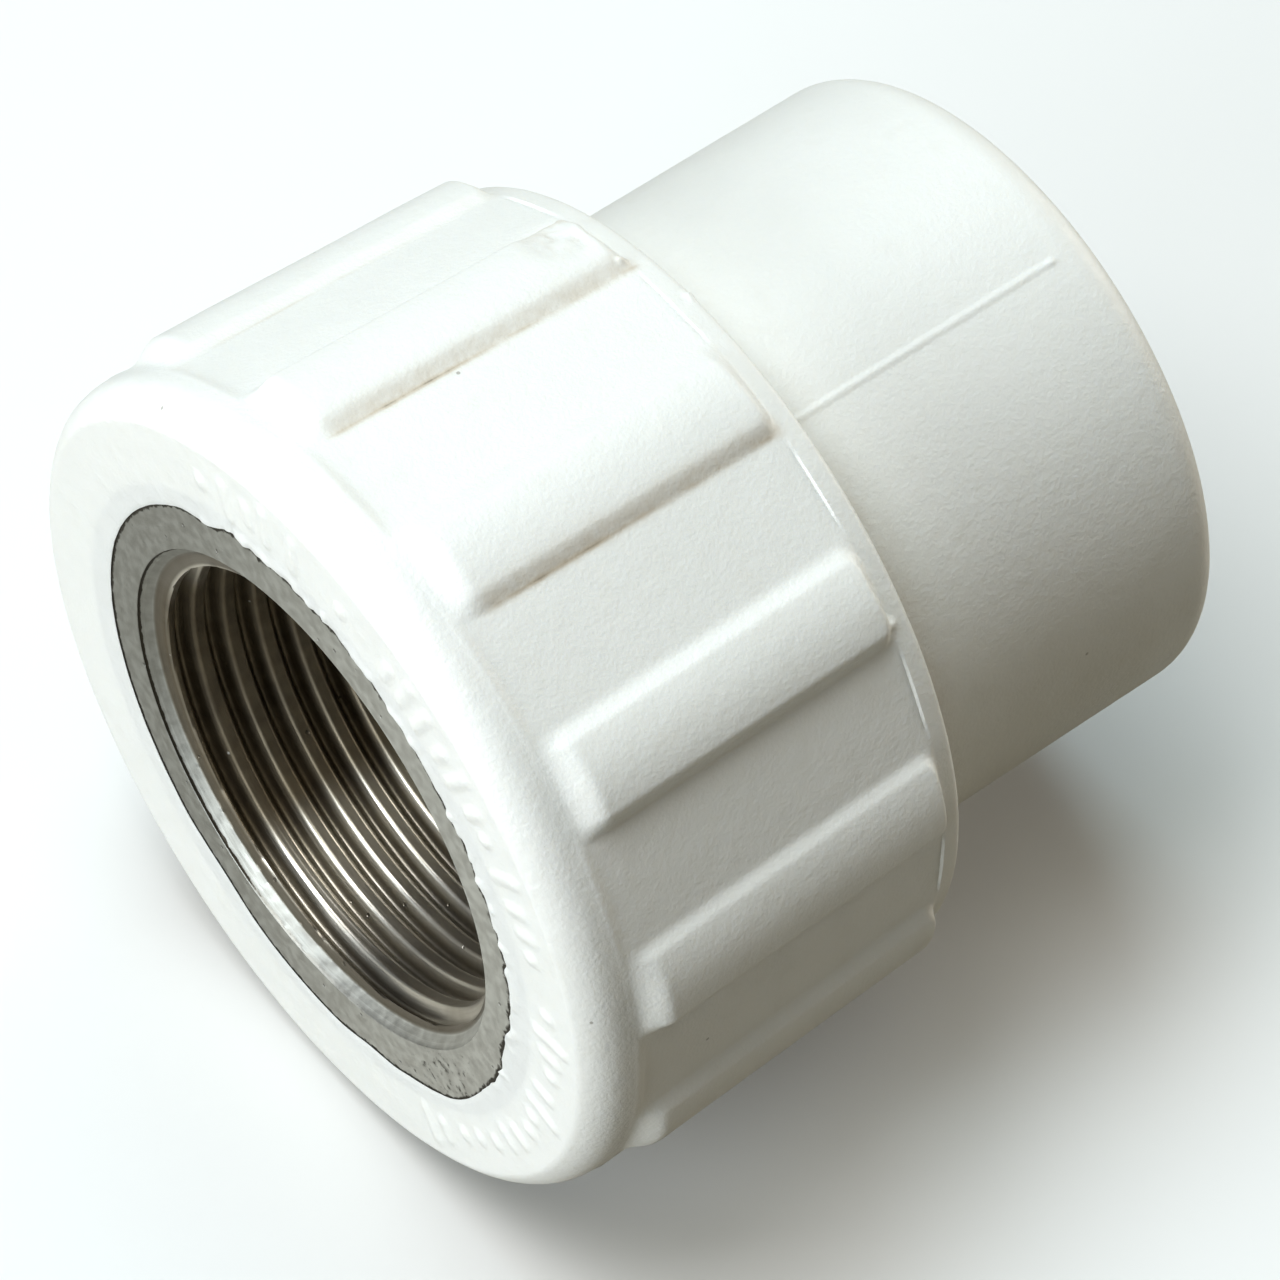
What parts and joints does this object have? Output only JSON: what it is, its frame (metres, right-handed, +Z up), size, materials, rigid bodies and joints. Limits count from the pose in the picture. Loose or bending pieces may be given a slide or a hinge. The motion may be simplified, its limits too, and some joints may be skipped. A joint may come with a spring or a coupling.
{
  "type": "pipe adapter",
  "caption": "Straight white plastic pipe adapter: a plain round welding socket at one end, and a thick ribbed collar holding a flush metal insert with a female pipe thread at the other.",
  "frame": {"origin": "under the middle of the fitting, at the height of the surface that it lies on", "axes": "+X along the fitting's axis, from the threaded face to the socket end; +Z up, with the fitting lying on two grip ribs; -Y to the side that faces the viewer"},
  "size_m": [0.0432, 0.0452, 0.0451],
  "materials": {
    "white_polypropylene": "satin moulded plastic, slightly translucent",
    "nickel_plated_brass": "dull nickel plating, brighter on the thread"
  },
  "bodies": {
    "root": {"moulded_body": "white_polypropylene", "threaded_insert": "nickel_plated_brass"}
  },
  "joints": []
}
